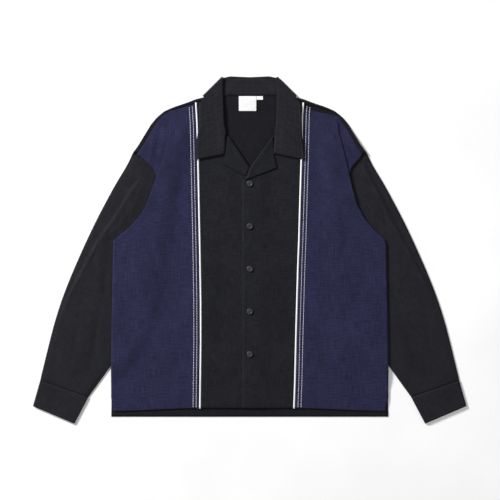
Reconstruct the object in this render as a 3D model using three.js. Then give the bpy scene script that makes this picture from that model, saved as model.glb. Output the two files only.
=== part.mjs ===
// Long-sleeved shirt jacket with a notched camp collar, buttoned and lying flat on its back.
// Frame: millimetres, origin at the middle of its footprint, +X to the wearer's left, +Y towards the
// collar, +Z up from the surface it lies on. Each cloth piece is a wall about its middle surface.
import * as THREE from 'three';

// ---------- Driving dimensions
const CLOTH = 1.0; // one layer of body cloth
const DOUBLED = 2.0; // collar, lapels and cuffs: two layers sewn together
const GAP = 0.3; // clearance at every seam and between layers
const BACK_HEM_Y = -366.5;
const FRONT_HEM_Y = -347.6;
const SIDE_HEM_DROP = 6.4; // how much lower the front hem is at the side vents
const NECK_SEAM_Y = 338;
const NECK_HALF = 97.6; // half the back neck seam
const PLACKET_X = 17; // each front reaches this far past the centre line
const PIPING_RADIUS = 1.8;
const SEAM_HALF = PIPING_RADIUS + GAP; // panels stop this far from a piped seam's line
const PIPING_RISE = 0.6; // the cord stands this much above the panels' middle
const BUTTON_RADIUS = 6.5;
const BUTTON_THICK = 2.6;
const BUTTON_TOP_Y = 146.3;
const BUTTON_PITCH = 93.7;
const BUTTON_COUNT = 5;
const SEAM_CUT = 0.6; // each panel stops this far from a slanted seam's line
const CUFF_SEAM_GAP = 0.6;

// Heights of middle surfaces above the layer below
const FLOOR_MID = CLOTH / 2;
const SLEEVE_LIFT = 3.7; // back panel above the sleeves tucked under it
const NECK_LIFT = 2.8; // back panel above the collar leaf behind it
const LOFT = 2.5; // front above back, in the middle of the body
const STACK = 2.1; // two layers that lie on each other
const FOLD_RADIUS = 0.66; // middle radius of a pressed fold
const PLEAT_DEPTH = 16;
const PLACKET_STEP = 1.4; // the upper front above the lower front

// ---------- Outlines: half-garment tables, x is the distance from the centre line
const SHOULDER_LINE = [ // outer fold from neck to armhole
  { y: 338.3, x: 98 }, { y: 336, x: 106.4 }, { y: 324, x: 137.6 }, { y: 314, x: 168.6 },
  { y: 305, x: 188 }, { y: 292, x: 204 }, { y: 275, x: 218 }, { y: 231, x: 244 }, { y: 209, x: 259.5 },
];
const SHOULDER_SEAM = [ // forward seam between the back and the fronts
  { y: 338.3, x: 98 }, { y: 331, x: 100.5 }, { y: 323, x: 117.5 }, { y: 318, x: 138 }, { y: 306.5, x: 174 },
  { y: 295, x: 192 }, { y: 275, x: 206.5 }, { y: 258, x: 218.5 }, { y: 237, x: 229.8 }, { y: 208, x: 249.5 },
];
const SLEEVE_OUTER = [
  { x: 250, y: 222 }, { x: 257, y: 214 }, { x: 270, y: 187 }, { x: 304, y: 129 }, { x: 348, y: 44 },
  { x: 396, y: -64 }, { x: 427, y: -152 }, { x: 455, y: -262 }, { x: 460.4, y: -286 },
];
const SLEEVE_INNER = [ // tucked under the body down to the elbow, then free to the cuff
  { x: 289, y: 17 }, { x: 262, y: -30 }, { x: 243, y: -80 }, { x: 239, y: -125 }, { x: 254, y: -175 },
  { x: 306, y: -255 }, { x: 354.5, y: -323 },
];
const CUFF_END = { outer: { x: 476.4, y: -342.8 }, inner: { x: 385.3, y: -381.5 } };
const RISE_LINE = [ // where the back has fully risen over the tucked sleeve
  { y: 300, x: 150 }, { y: 228, x: 165 }, { y: 163, x: 178 }, { y: 100, x: 190 }, { y: 0, x: 205 },
  { y: -125, x: 224 }, { y: -190, x: 246 }, { y: -255, x: 292 }, { y: -310, x: 345 }, { y: -367, x: 400 },
];
const RISE_WIDTH = 42;
const NECKLINE = [ // front neckline, then the roll line of the lapel, then the placket edge
  { y: 331, x: 98.4 }, { y: 320, x: 99.3 }, { y: 300, x: 98.3 }, { y: 283, x: 92.3 }, { y: 267, x: 80.3 },
  { y: 257, x: 63 }, { y: 251, x: 52 }, { y: 248, x: 48 }, { y: 215, x: 25 }, { y: 181, x: 0.5 },
  { y: 156, x: -10 }, { y: 148, x: -PLACKET_X }, { y: -355, x: -PLACKET_X },
];

// The wearer's left front lies on top; the two sides hang a little differently.
const LEFT = {
  name: 'left', sign: 1, upper: true,
  armholeTop: 214, pleatTop: 293, pleatFull: 268, seamMeetsPleat: 163.5,
  edge: [
    { y: 294, x: 192 }, { y: 259, x: 195 }, { y: 228, x: 203 }, { y: 187, x: 213 }, { y: 163.5, x: 218 },
    { y: 130, x: 226 }, { y: 99, x: 236 }, { y: 67, x: 254 }, { y: 42, x: 275 }, { y: 24, x: 296 },
    { y: 12, x: 300 }, { y: -60, x: 301 }, { y: -145, x: 303 }, { y: -248, x: 304.6 }, { y: -367, x: 304.6 },
  ],
  armhole: [{ y: 214, x: 249.4 }, { y: 202, x: 241.5 }, { y: 181.5, x: 223.4 }, { y: 163.5, x: 218 }],
  piping: [
    { y: 323, x: 117.8 }, { y: 297, x: 115.6 }, { y: 198, x: 113.4 }, { y: 110, x: 110.6 }, { y: 22, x: 108.2 },
    { y: -22, x: 106.4 }, { y: -110, x: 103.8 }, { y: -176, x: 101.9 }, { y: -286, x: 99.4 }, { y: -348, x: 97.2 },
  ],
  leafEdge: [
    { y: 318, x: 112.5 }, { y: 298, x: 113.6 }, { y: 270, x: 114.6 }, { y: 245, x: 115.6 }, { y: 220, x: 119 },
    { y: 206, x: 121 }, { y: 198.4, x: 121.6 },
  ],
  roll: [
    { y: 358, x: 60.2 }, { y: 330, x: 59.4 }, { y: 300, x: 58.2 }, { y: 276, x: 57.2 }, { y: 254, x: 53.8 },
    { y: 232, x: 52.9 }, { y: 212, x: 51.9 },
  ],
  lapel: { roll: [{ y: 249, x: 49.4 }, { y: 181, x: 0.8 }, { y: 155.4, x: -9.4 }],
    outer: [{ y: 249, x: 49.8 }, { y: 230, x: 50.6 }, { y: 214, x: 51.4 }, { y: 181, x: 59 }, { y: 155, x: -9 }],
    rows: [249, 238, 226, 214, 197, 181, 172, 163, 155.4] },
};
const RIGHT = {
  name: 'right', sign: -1, upper: false,
  armholeTop: 209, pleatTop: 300, pleatFull: 262, seamMeetsPleat: 162.5,
  edge: [
    { y: 305.2, x: 174 }, { y: 288, x: 174.5 }, { y: 254, x: 176.6 }, { y: 218, x: 184 }, { y: 187, x: 194.6 },
    { y: 162.5, x: 203.6 }, { y: 135, x: 213 }, { y: 101, x: 226 }, { y: 75, x: 241 }, { y: 49, x: 264.6 },
    { y: 32, x: 285.5 }, { y: 20, x: 300 }, { y: -60, x: 301 }, { y: -145, x: 303 }, { y: -248, x: 304.6 },
    { y: -367, x: 304.6 },
  ],
  armhole: [{ y: 209, x: 245.6 }, { y: 197, x: 231 }, { y: 184, x: 215 }, { y: 162.5, x: 203.6 }],
  piping: [
    { y: 323, x: 118.2 }, { y: 275, x: 115.4 }, { y: 198, x: 113.6 }, { y: 0, x: 109.5 }, { y: -110, x: 107.8 },
    { y: -200, x: 107.6 }, { y: -348, x: 109.4 },
  ],
  leafEdge: [
    { y: 318, x: 112 }, { y: 298, x: 111.6 }, { y: 272, x: 112 }, { y: 245, x: 116 }, { y: 222, x: 118.6 },
    { y: 206, x: 119.6 }, { y: 198.8, x: 118.4 },
  ],
  roll: [
    { y: 358, x: 59.4 }, { y: 330, x: 58.2 }, { y: 300, x: 56.8 }, { y: 276, x: 55.6 }, { y: 254, x: 51.4 },
    { y: 232, x: 53.4 }, { y: 210, x: 55.6 },
  ],
  lapel: { roll: [{ y: 249, x: 45.6 }, { y: 181, x: 0.4 }, { y: 163, x: 7.6 }],
    outer: [{ y: 249, x: 49.6 }, { y: 230, x: 51.6 }, { y: 210, x: 54 }, { y: 188, x: 59 }, { y: 163, x: 8 }],
    rows: [249, 238, 226, 210, 199, 188, 179, 170, 163.2] },
};
const SIDES = [LEFT, RIGHT];

// ---------- Small helpers
const lerp = (a, b, t) => a + (b - a) * t;
const clamp = (v, lo, hi) => Math.min(hi, Math.max(lo, v));
const smooth = (t) => { const c = clamp(t, 0, 1); return c * c * (3 - 2 * c); };
const steps = (count) => Array.from({ length: count + 1 }, (_, i) => i / count);

// x along a table sorted by falling y, straight between rows
function xAt(rows, y) {
  if (y >= rows[0].y) return rows[0].x;
  for (let i = 1; i < rows.length; i++) {
    if (y >= rows[i].y) {
      return lerp(rows[i - 1].x, rows[i].x, (rows[i - 1].y - y) / (rows[i - 1].y - rows[i].y));
    }
  }
  return rows[rows.length - 1].x;
}

// A smooth curve through a table's points, as a function of its share of length
function curve(rows) {
  const spline = new THREE.CatmullRomCurve3(rows.map((r) => new THREE.Vector3(r.x, r.y, 0)), false, 'centripetal');
  return (t) => spline.getPointAt(clamp(t, 0, 1));
}

// ---------- Middle surfaces, sewn from patches and given their wall
class Sheet {
  constructor() {
    this.points = [];
    this.index = new Map();
    this.faces = [];
  }

  vertex(p) {
    const key = p.map((v) => Math.round(v * 200)).join();
    if (!this.index.has(key)) {
      this.index.set(key, this.points.length);
      this.points.push(new THREE.Vector3(...p));
    }
    return this.index.get(key);
  }

  // A grid of [x, y, z] rows; closed joins each row's last point to its first
  patch(rows, flip = false, closed = false) {
    const ids = rows.map((row) => row.map((p) => this.vertex(p)));
    for (let j = 0; j + 1 < ids.length; j++) {
      const last = closed ? ids[j].length : ids[j].length - 1;
      for (let i = 0; i < last; i++) {
        const k = (i + 1) % ids[j].length;
        const [a, b, c, d] = [ids[j][i], ids[j][k], ids[j + 1][k], ids[j + 1][i]];
        for (const f of [[a, b, c], [a, c, d]]) {
          if (new Set(f).size === 3) this.faces.push(flip ? [f[0], f[2], f[1]] : f);
        }
      }
    }
    return this;
  }

  // Unit normal at each point, lengthened where the sheet bends so that the wall keeps its thickness
  offsets() {
    const sums = this.points.map(() => new THREE.Vector3());
    const around = this.points.map(() => []);
    for (const [a, b, c] of this.faces) {
      const [pa, pb, pc] = [this.points[a], this.points[b], this.points[c]];
      const n = pb.clone().sub(pa).cross(pc.clone().sub(pa)).normalize();
      for (const [v, p, q, r] of [[a, pa, pb, pc], [b, pb, pc, pa], [c, pc, pa, pb]]) {
        sums[v].addScaledVector(n, q.clone().sub(p).angleTo(r.clone().sub(p)));
        around[v].push(n);
      }
    }
    return sums.map((sum, v) => {
      const n = sum.normalize();
      const fit = around[v].reduce((total, f) => total + n.dot(f), 0) / around[v].length;
      return n.divideScalar(clamp(fit, 0.8, 1));
    });
  }

  wall(thickness) {
    const count = this.points.length;
    const shift = this.offsets();
    const xyz = [];
    for (const side of [thickness / 2, -thickness / 2]) {
      this.points.forEach((p, v) => xyz.push(...p.clone().addScaledVector(shift[v], side).toArray()));
    }
    const tris = this.faces.flatMap(([a, b, c]) => [a, b, c, a + count, c + count, b + count]);
    const edges = new Map();
    for (const [a, b, c] of this.faces) {
      for (const [p, q] of [[a, b], [b, c], [c, a]]) edges.set(`${p},${q}`, [p, q]);
    }
    for (const [p, q] of edges.values()) {
      if (!edges.has(`${q},${p}`)) tris.push(p, p + count, q + count, p, q + count, q);
    }
    const geometry = new THREE.BufferGeometry();
    geometry.setAttribute('position', new THREE.Float32BufferAttribute(xyz, 3));
    geometry.setIndex(tris);
    return geometry;
  }
}

// ---------- Heights of the body's layers
function backHeight(x, y) {
  const overSleeve = smooth((x - xAt(RISE_LINE, y) + RISE_WIDTH) / RISE_WIDTH) * (1 - smooth((y - 228) / 47));
  const overLeaf = smooth((y - 290) / 44) * (1 - smooth((x - 108) / 45));
  return FLOOR_MID + SLEEVE_LIFT * overSleeve + NECK_LIFT * overLeaf;
}

// The pleat opens from nothing: first the cloth turns over, then the fold deepens
function pleatTurn(side, y) {
  return Math.PI * clamp((side.pleatTop - y) / (side.pleatTop - side.pleatFull), 0, 1);
}

function pleatDepth(side, y) {
  return PLEAT_DEPTH * smooth((side.pleatFull - y) / 60);
}

function pleatDrop(side, y) {
  return 2 * FOLD_RADIUS * (1 - Math.cos(pleatTurn(side, y)));
}

// Gap between back and front near the front's outer edge
function edgeLoft(side, y) {
  const pleatEnd = side.seamMeetsPleat - 46;
  return STACK + pleatDrop(side, y) * smooth((y - pleatEnd + 30) / 30);
}

function frontHeight(side, x, y) {
  const inset = xAt(side.edge, y) - x;
  const near = 1 - smooth((inset - PLEAT_DEPTH - 6) / 44);
  return backHeight(x, y) + lerp(LOFT, edgeLoft(side, y), near);
}

function centreHeight(side, x, y) {
  const step = side.upper ? PLACKET_STEP * (1 - smooth((x - 22) / 30)) : 0;
  return backHeight(Math.abs(x), y) + LOFT + step;
}

const mirrored = (side, p) => [side.sign * p[0], p[1], p[2]];
const mirrorRows = (side, rows) => rows.map((row) => row.map((p) => mirrored(side, p)));

// ---------- Back: one panel whose shoulders fold forward to the shoulder seam
const SHOULDER_ROWS = [337.3, 336, 331, 324, 316, 306, 295, 283, 268, 250, 231, 213];
const ARMHOLE_ROWS = [211, 200, 187, 150, 118, 90, 64, 42, 28, 14];
const SIDE_ROWS = [-30, -90, -150, -205, -255, -305, -340];

function shoulderFold(side, y) {
  const rise = (lerp(LOFT, STACK, smooth((xAt(SHOULDER_SEAM, y) - 120) / 56))) / 2;
  const slope = (xAt(SHOULDER_LINE, y - 3) - xAt(SHOULDER_LINE, y + 3)) / 6;
  const reach = rise * Math.hypot(1, slope);
  const room = xAt(SHOULDER_LINE, y) - xAt(SHOULDER_SEAM, y) - GAP;
  return { rise, reach: Math.min(reach, room * 0.4), x: xAt(SHOULDER_LINE, y) - CLOTH * 0.6 * Math.hypot(1, slope) };
}

function backRow(side, xEnd, y) {
  return [0, 0.2, 0.38, 0.52, 0.64, 0.76, 0.88, 1].map((t) => [xEnd * t, y, backHeight(xEnd * t, y)]);
}

function makeBack() {
  const sheet = new Sheet();
  for (const side of SIDES) {
    const rows = [];
    const strip = [];
    for (const y of SHOULDER_ROWS) {
      const seamX = xAt(SHOULDER_SEAM, y) + SEAM_CUT;
      const fold = shoulderFold(side, y);
      const turned = y < SHOULDER_ROWS[1];
      const foldX = turned ? Math.max(fold.x - fold.reach, seamX) : xAt(SHOULDER_SEAM, y);
      rows.push(backRow(side, foldX, y));
      if (!turned) {
        strip.push(new Array(7).fill([foldX, y, backHeight(foldX, y)]));
        continue;
      }
      const base = backHeight(foldX, y);
      const arc = steps(4).map((t) => [
        foldX + fold.reach * Math.sin(Math.PI * t), y, base + fold.rise * (1 - Math.cos(Math.PI * t)),
      ]);
      const top = base + 2 * fold.rise;
      strip.push([...arc, [lerp(foldX, seamX, 0.5), y, top], [seamX, y, top]]);
    }
    for (const y of [...ARMHOLE_ROWS, ...SIDE_ROWS, BACK_HEM_Y]) {
      const outer = y > side.seamMeetsPleat ? xAt(side.armhole, y) : xAt(side.edge, y);
      rows.push(backRow(side, outer - (y < -354 ? 0 : 1), y));
    }
    sheet.patch(mirrorRows(side, rows), side.sign > 0);
    sheet.patch(mirrorRows(side, strip), side.sign > 0);
  }
  return sheet.wall(CLOTH);
}

// ---------- Front side panels: body, pleat and the dropped shoulder under it
const TOP_TILT = [{ y: 306.5, x: 16.3 }, { y: 295, x: 16 }, { y: 262, x: 9 }, { y: 214, x: 0 }];

function sideRows(side) {
  const top = [side.edge[0].y, ...[300, 293, 286, 279, 272, 266, 258, 245, 230, 218].filter((y) => y < side.edge[0].y - 1)];
  const armhole = [side.armholeTop, 200, 187, 175, side.seamMeetsPleat, 152, 140, 128, 114, 92, 67, 42, 28, 18];
  return [...top, ...armhole, -60, -150, -248, -327, FRONT_HEM_Y];
}

// A point of the pleat, at a length q past the start of its first fold
function pleatPoint(turn, depth, q) {
  const r = FOLD_RADIUS;
  const arc = r * turn;
  if (q <= arc) return [r * Math.sin(q / r), -r * (1 - Math.cos(q / r))];
  const start = [r * Math.sin(turn), -r * (1 - Math.cos(turn))];
  const run = Math.min(q - arc, depth);
  const flat = [start[0] + run * Math.cos(turn), start[1] - run * Math.sin(turn)];
  if (q <= arc + depth) return flat;
  const heading = turn - Math.min(q - arc - depth, arc) / r;
  return [flat[0] + r * (Math.sin(turn) - Math.sin(heading)), flat[1] - r * (Math.cos(heading) - Math.cos(turn))];
}

function pleatRow(side, y) {
  const x0 = xAt(side.edge, y) - FOLD_RADIUS * Math.sin(Math.min(pleatTurn(side, y), Math.PI / 2));
  const turn = pleatTurn(side, y);
  const depth = pleatDepth(side, y);
  const folded = 2 * FOLD_RADIUS * turn + depth;
  const seam = Math.min(xAt(SHOULDER_SEAM, y), y < side.armholeTop ? xAt(side.armhole, y) : Infinity);
  const outer = seam - SEAM_CUT;
  const hidden = pleatPoint(turn, depth, folded)[0] + x0;
  const below = (side.seamMeetsPleat - y) / 46; // below here the armhole seam runs up inside the pleat
  const seamX = below > 0 ? x0 : outer;
  const total = folded + Math.max(seamX - hidden, 0);
  const length = total * (1 - clamp(below, 0, 1));
  const top = frontHeight(side, x0, y);
  const arc = FOLD_RADIUS * turn;
  const marks = [...steps(4).map((t) => t * arc), ...steps(4).map((t) => arc + depth + t * arc)];
  const columns = [...marks, ...[0.12, 0.4, 0.7, 1].map((t) => lerp(folded, total, t))];
  return columns.map((q) => {
    const at = Math.min(q, length);
    const [dx, dz] = pleatPoint(turn, depth, at);
    const x = x0 + dx + Math.max(at - folded, 0);
    const wedge = Math.max(backHeight(Math.max(x, x0), y) - backHeight(x0, y), 0);
    return [x, y, top + dz + (at > folded ? wedge : 0)];
  });
}

function makeFrontSide(side) {
  const body = [];
  const pleat = [];
  for (const row of sideRows(side)) {
    const isHem = row === FRONT_HEM_Y;
    const crease = row > side.seamMeetsPleat - 46;
    const turnInset = crease ? FOLD_RADIUS * Math.sin(Math.min(pleatTurn(side, row), Math.PI / 2)) : 0;
    const vent = row < -320 ? 5.5 * smooth((-320 - row) / 27) : 0;
    const xOut = xAt(side.edge, row) - turnInset - vent;
    body.push([0, 0.14, 0.32, 0.5, 0.66, 0.8, 0.91, 1].map((t) => {
      const y0 = row + xAt(TOP_TILT, row) * (1 - t);
      const x = lerp(xAt(side.piping, y0) + SEAM_HALF, xOut, t);
      const y = isHem ? row - SIDE_HEM_DROP * smooth(t) : y0;
      return [x, y, frontHeight(side, x, t === 1 ? row : y)];
    }));
    if (crease && row < side.edge[0].y) pleat.push(pleatRow(side, row));
    if (row === side.edge[0].y) pleat.push(new Array(14).fill([xOut, row, frontHeight(side, xOut, row)]));
  }
  const sheet = new Sheet();
  sheet.patch(mirrorRows(side, body), side.sign > 0);
  sheet.patch(mirrorRows(side, pleat), side.sign > 0);
  return sheet.wall(CLOTH);
}

// ---------- Front centre panels, cut along the neckline, the roll line and the placket edge
const CENTRE_ROWS = [324.5, 310, 297, 283, 270, 261, 255, 250, 244, 228, 212, 196, 181, 165, 153, 147, 100, 40,
  -30, -110, -190, -270, FRONT_HEM_Y];

function makeFrontCentre(side) {
  const rows = CENTRE_ROWS.map((y) => {
    const inner = xAt(NECKLINE, y) + (y > 250 ? GAP : 0);
    const outer = xAt(side.piping, y) - SEAM_HALF;
    return [0, 0.15, 0.32, 0.55, 0.8, 1].map((t) => {
      const x = lerp(inner, outer, t);
      return [x, y, centreHeight(side, x, y)];
    });
  });
  return new Sheet().patch(mirrorRows(side, rows), side.sign > 0).wall(CLOTH);
}

// ---------- Piping cord in the seam between side and centre panels
function makePiping(side) {
  const path = [322.4, 290, 250, 200, 140, 80, 22, -50, -120, -190, -270, FRONT_HEM_Y].map((y) => {
    const x = xAt(side.piping, y);
    return new THREE.Vector3(side.sign * x, y, frontHeight(side, x, y) + PIPING_RISE);
  });
  const section = new THREE.Shape();
  section.absarc(0, 0, PIPING_RADIUS, 0, 2 * Math.PI);
  return new THREE.ExtrudeGeometry(section, {
    steps: 24, curveSegments: 4, bevelEnabled: false, extrudePath: new THREE.CatmullRomCurve3(path),
  });
}

// ---------- Collar: a stand and a leaf that fold over at the roll and again at each shoulder
const COLLAR_TOP_Y = 381.5;
const LAYER = DOUBLED + GAP; // stand to leaf, middle to middle
const CORNER = { x: 61, y: 381.2 }; // roll end of the slanted fold at the shoulder
const CORNER_FOLD = { x: 101.5, y: 341 }; // leaf end of that fold
const STAND_BACK_Z = 3.3;
const WRAP_RADIUS = LAYER / 2; // middle radius of the stand's fold at the corner
const LEAF_WRAP = 3 * WRAP_RADIUS;

// One section: stand foot, roll, leaf edge, and the direction from stand to leaf
function collarSection(foot, roll, edge, across, layer = LAYER) {
  const along = new THREE.Vector3(roll.x - foot.x, roll.y - foot.y, 0).normalize();
  const radius = layer / 2;
  const standTop = roll.clone().addScaledVector(along, -radius - DOUBLED / 2);
  const leafTop = standTop.clone().addScaledVector(across, layer);
  const centre = standTop.clone().lerp(leafTop, 0.5);
  const arc = steps(4).map((t) => centre.clone()
    .addScaledVector(across, -radius * Math.cos(Math.PI * t))
    .addScaledVector(along, radius * Math.sin(Math.PI * t)));
  const stand = steps(3).map((t) => foot.clone().lerp(standTop, t));
  const leaf = steps(4).map((t) => leafTop.clone().lerp(edge, t));
  return { stand: [...stand, ...arc.slice(1)].map((p) => p.toArray()), leaf: leaf.map((p) => p.toArray()) };
}

function cornerSections() {
  const along = new THREE.Vector3(CORNER.x - CORNER_FOLD.x, CORNER.y - CORNER_FOLD.y, 0).normalize();
  const out = new THREE.Vector3(along.y, -along.x, 0);
  const inset = -LEAF_WRAP - DOUBLED / 2;
  const axisZ = STAND_BACK_Z + WRAP_RADIUS;
  const rollAxis = new THREE.Vector3(CORNER.x, CORNER.y, axisZ).addScaledVector(out, inset);
  const footAxis = new THREE.Vector3(CORNER_FOLD.x, CORNER_FOLD.y, axisZ).addScaledVector(out, inset);
  return [-90, -60, -30, 0, 30, 60, 90].map((degrees) => {
    const angle = THREE.MathUtils.degToRad(degrees);
    const across = out.clone().multiplyScalar(Math.cos(angle)).add(new THREE.Vector3(0, 0, Math.sin(angle)));
    const foot = footAxis.clone().addScaledVector(across, WRAP_RADIUS);
    const roll = rollAxis.clone().addScaledVector(across, WRAP_RADIUS);
    const edge = footAxis.clone().addScaledVector(across, LEAF_WRAP);
    return collarSection(foot, roll, edge, across);
  });
}

function backCollarSections() {
  const down = new THREE.Vector3(0, 0, -1);
  return [0, 22, 42].map((x) => {
    const spread = (x / 42) * (NECK_HALF * 0.82);
    const foot = new THREE.Vector3(spread, NECK_SEAM_Y, STAND_BACK_Z);
    const roll = new THREE.Vector3(x, COLLAR_TOP_Y - 1.6 * (1 - x / 42), STAND_BACK_Z);
    return collarSection(foot, roll, new THREE.Vector3(spread, 334.5, DOUBLED / 2), down);
  });
}

// Front sections: rows down the roll, with the stand's foot on the neckline
const FRONT_COLLAR = [
  { footX: 98.6, footY: 322, standZ: 5.1, rollZ: 5.6, layer: 2.5, leafZ: 8.0 },
  { footX: 98.2, footY: 303, standZ: 4.1, rollZ: 5.2, layer: 2.6, leafZ: 7.6 },
  { footX: 92.4, footY: 284.6, standZ: 3.5, rollZ: 4.2, layer: 3.2, leafZ: 7.2 },
  { footX: 81, footY: 269.5, standZ: 3.3, rollZ: 3.6, layer: 3.2, leafZ: 6.9 },
  { footX: 63, footY: 258.6, standZ: 3.2, rollZ: 3.2, layer: 2.8, leafZ: 6.9 },
];
const GORGE_LEAF_Z = [{ rollZ: 5.9, leafZ: 6.9 }, { rollZ: 5.6, leafZ: 6.9 }];

function makeCollar() {
  const sheet = new Sheet();
  const up = new THREE.Vector3(0, 0, 1);
  for (const side of SIDES) {
    const sections = [...backCollarSections(), ...cornerSections()];
    FRONT_COLLAR.forEach((row, i) => {
      const foot = new THREE.Vector3(row.footX, row.footY, row.standZ);
      const roll = new THREE.Vector3(side.roll[i].x, side.roll[i].y, row.rollZ);
      const edge = new THREE.Vector3(side.leafEdge[i].x, side.leafEdge[i].y, row.leafZ);
      sections.push(collarSection(foot, roll, edge, up, row.layer));
    });
    const leafRows = sections.map((s) => s.leaf);
    GORGE_LEAF_Z.forEach((row, i) => {
      const n = FRONT_COLLAR.length + i;
      const roll = new THREE.Vector3(side.roll[n].x, side.roll[n].y, row.rollZ);
      const edge = new THREE.Vector3(side.leafEdge[n].x, side.leafEdge[n].y, row.leafZ);
      leafRows.push(steps(4).map((t) => roll.clone().lerp(edge, t).toArray()));
    });
    sheet.patch(mirrorRows(side, sections.map((s) => s.stand)), side.sign < 0);
    sheet.patch(mirrorRows(side, leafRows), side.sign < 0);
  }
  return sheet.wall(DOUBLED);
}

// ---------- Lapels: the turned-out facing over each front centre panel
function makeLapel(side) {
  const lift = CLOTH / 2 + 1.6 * GAP + DOUBLED / 2;
  const rows = side.lapel.rows.map((y) => {
    const inner = xAt(side.lapel.roll, y);
    const outer = Math.max(xAt(side.lapel.outer, y), inner + 0.4);
    return steps(5).map((t) => {
      const x = lerp(inner, outer, t);
      return [x, y, centreHeight(side, x, y) + lift];
    });
  });
  return new Sheet().patch(mirrorRows(side, rows), side.sign > 0).wall(DOUBLED);
}

// ---------- Sleeves and cuffs: flattened tubes
function flatTubeRow(outer, inner, plan, topZ, baseZ, wall, counts) {
  const width = Math.hypot(outer.x - inner.x, outer.y - inner.y);
  const at = (u, z) => { const p = plan(u); return [p.x, p.y, z]; };
  const margin = (distance) => distance / width;
  const edgeTop = topZ(margin(wall));
  const radius = (edgeTop - baseZ) / 2;
  const start = margin(wall / 2 + radius);
  const top = steps(counts.top).map((t) => { const u = lerp(start, 1 - start, t); return at(u, topZ(u)); });
  const base = steps(counts.base).map((t) => at(lerp(1 - start, start, t), baseZ));
  const fold = (sign) => [0.25, 0.5, 0.75].map((t) => {
    const a = Math.PI * t;
    const u = sign > 0 ? 1 - start + margin(radius) * Math.sin(a) : start - margin(radius) * Math.sin(a);
    return at(u, baseZ + radius + radius * (sign > 0 ? Math.cos(a) : -Math.cos(a)));
  });
  return [...top, ...fold(1), ...base, ...fold(-1)];
}

function sleevePlan(side) {
  const outer = curve(SLEEVE_OUTER);
  const inner = curve(SLEEVE_INNER);
  const tucked = [{ x: 250, y: 222 }];
  for (const y of [200, 180, 160, 130, 99, 67, 42, 28]) {
    tucked.push({ x: (y > side.seamMeetsPleat ? xAt(side.armhole, y) : xAt(side.edge, y)) - 9, y });
  }
  const armhole = curve([...tucked, { x: 289, y: 17 }]);
  const line = (u) => outer(1).lerp(inner(1), u);
  return (t, u) => {
    const across = outer(t).lerp(inner(t), u);
    const down = armhole(u).lerp(line(u), t);
    const corners = outer(0).lerp(inner(0), u).lerp(outer(1).lerp(inner(1), u), t);
    return across.add(down).sub(corners);
  };
}

function sleeveTop(side, p) {
  const edge = Math.max(xAt(side.edge, p.y), p.y > side.seamMeetsPleat ? xAt(side.armhole, p.y) : 0);
  const free = smooth((p.x - edge - 6) / 30);
  return lerp(2.9, 4.0, free);
}

function makeSleeve(side) {
  const plan = sleevePlan(side);
  const rows = [0, 0.05, 0.12, 0.2, 0.29, 0.38, 0.47, 0.56, 0.65, 0.74, 0.83, 0.92, 1].map((t) => {
    const row = (u) => plan(t, u);
    const edgeTop = 2.1;
    const topZ = (u) => {
      const near = Math.min(u, 1 - u) * 110;
      return lerp(edgeTop, sleeveTop(side, row(u)), smooth(near / 14));
    };
    return flatTubeRow(row(0), row(1), row, topZ, FLOOR_MID, CLOTH, { top: 9, base: 4 });
  });
  return new Sheet().patch(mirrorRows(side, rows), side.sign > 0, true).wall(CLOTH);
}

function makeCuff(side) {
  const seam = [SLEEVE_OUTER[SLEEVE_OUTER.length - 1], SLEEVE_INNER[SLEEVE_INNER.length - 1]];
  const start = CUFF_SEAM_GAP / 60;
  const rows = [start, 0.5, 1].map((t) => {
    const outer = new THREE.Vector3(lerp(seam[0].x, CUFF_END.outer.x, t), lerp(seam[0].y, CUFF_END.outer.y, t), 0);
    const inner = new THREE.Vector3(lerp(seam[1].x, CUFF_END.inner.x, t), lerp(seam[1].y, CUFF_END.inner.y, t), 0);
    const plan = (u) => outer.clone().lerp(inner, u);
    const topZ = (u) => lerp(3.4, 3.8, smooth(Math.min(u, 1 - u) * 8));
    return flatTubeRow(outer, inner, plan, topZ, DOUBLED / 2, DOUBLED, { top: 6, base: 2 });
  });
  return new Sheet().patch(mirrorRows(side, rows), side.sign > 0, true).wall(DOUBLED);
}

// ---------- Buttons, label and size tab
function makeButton() {
  const half = BUTTON_THICK / 2;
  const profile = [
    [0, -half], [BUTTON_RADIUS - 1, -half], [BUTTON_RADIUS, -half + 0.8], [BUTTON_RADIUS, half - 0.6],
    [BUTTON_RADIUS - 0.8, half], [BUTTON_RADIUS - 2, half - 0.5], [0, half - 0.5],
  ].map(([x, y]) => new THREE.Vector2(x, y));
  return new THREE.LatheGeometry(profile, 20).rotateX(Math.PI / 2);
}

function makeLabel(x0, x1, y0) {
  const rows = steps(4).map((s) => steps(2).map((t) => {
    const x = lerp(x0, x1, t);
    const y = lerp(NECK_SEAM_Y - 1, y0, s);
    return [x, y, backHeight(Math.abs(x), y) + CLOTH + GAP];
  }));
  return new Sheet().patch(rows, true).wall(CLOTH);
}

// ---------- Materials and assembly
const cloth = (color) => new THREE.MeshStandardMaterial({ color, roughness: 0.92, metalness: 0 });
const BLACK_CLOTH = 0x25262a;
const NAVY_CLOTH = 0x2b2a46;
const WHITE_CLOTH = 0xecebe8;
const BUTTON_GREY = 0x35363a;

const group = new THREE.Group();

function add(name, geometry, color, z = 0) {
  const mesh = new THREE.Mesh(geometry, cloth(color));
  mesh.name = name;
  mesh.position.z = z;
  group.add(mesh);
  return mesh;
}

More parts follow.
